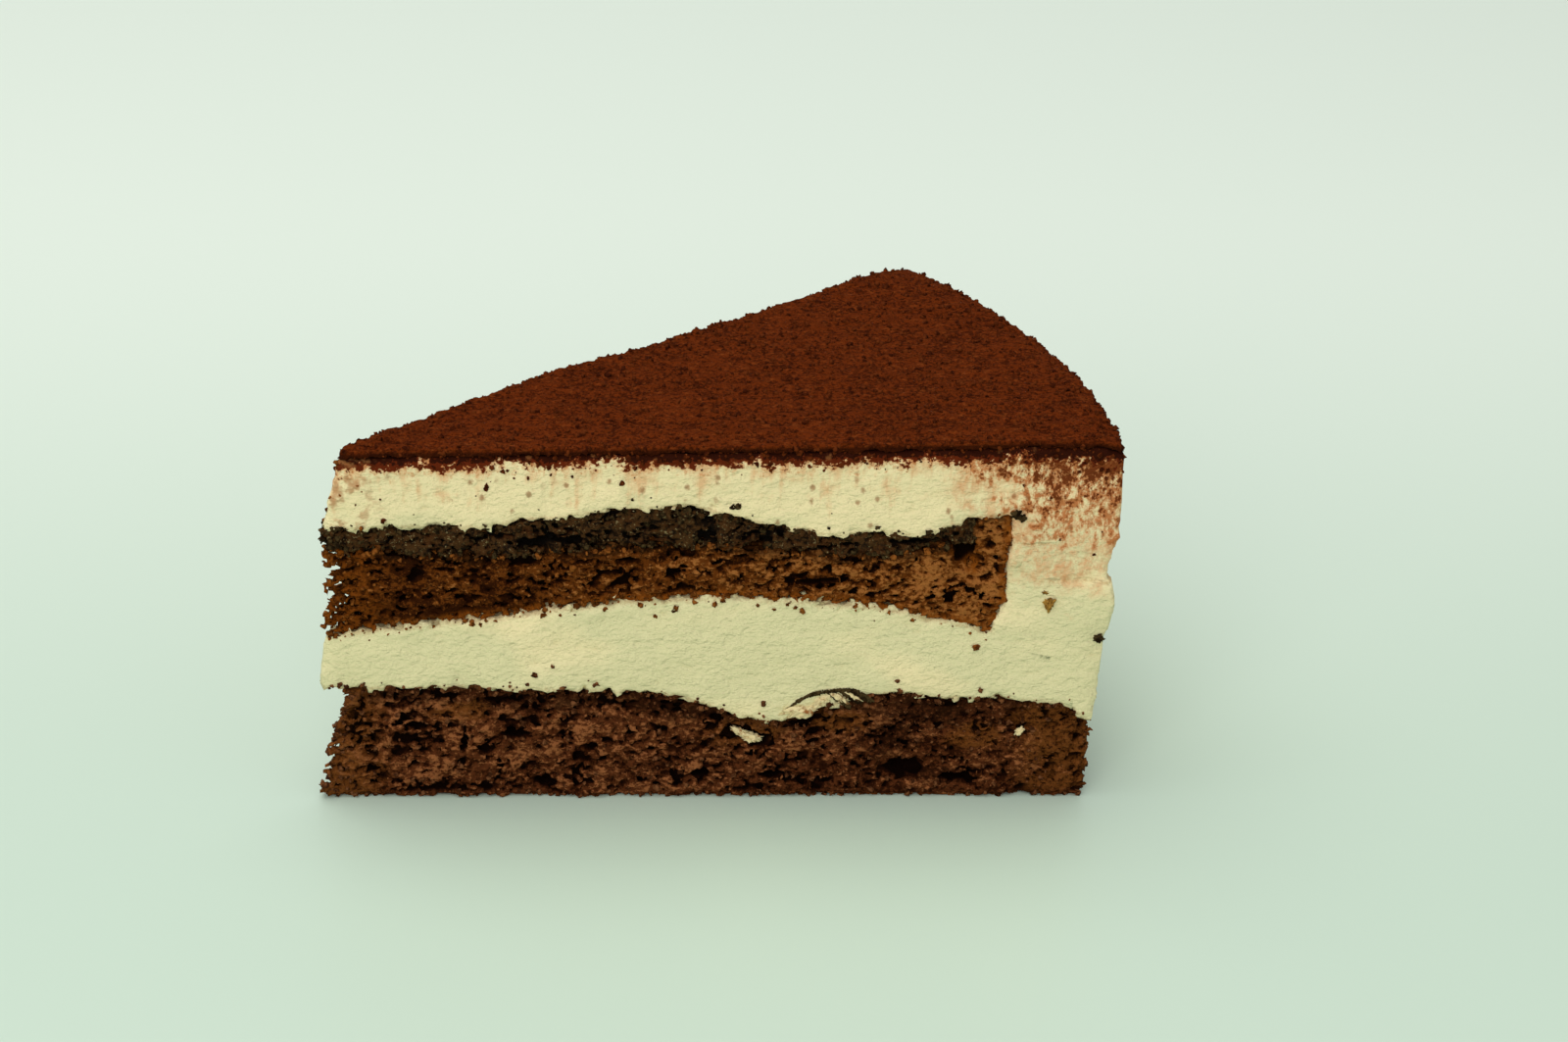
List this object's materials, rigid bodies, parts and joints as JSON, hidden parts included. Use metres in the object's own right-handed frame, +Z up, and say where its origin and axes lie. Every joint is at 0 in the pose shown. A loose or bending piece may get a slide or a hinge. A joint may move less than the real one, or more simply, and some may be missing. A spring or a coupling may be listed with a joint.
{
  "type": "tiramisu cake slice",
  "caption": "Wedge of layered tiramisu cake: coffee sponge base, pale cream round a second sponge with a soaked dark top, and a layer of cocoa powder.",
  "frame": {"origin": "middle of the underside of the slice's bounding box", "axes": "+X runs along the front cut from the tip to the rim, the front cut faces -Y, +Z is up"},
  "size_m": [0.0986, 0.0582, 0.0503],
  "materials": {
    "bottom_sponge": "open mauve-brown sponge crumb, matt",
    "cream": "pale yellow whipped cream, cut smooth with fine knife drags",
    "upper_sponge": "open warm brown sponge crumb, matt",
    "soaked_crumb": "coffee-soaked crumb, nearly black, moist",
    "cocoa": "fine cocoa powder, matt and granular"
  },
  "bodies": {
    "root": {"bottom_sponge": "bottom_sponge", "cream": "cream", "upper_sponge": "upper_sponge", "soaked_crumb": "soaked_crumb", "cocoa_top": "cocoa"}
  },
  "joints": []
}
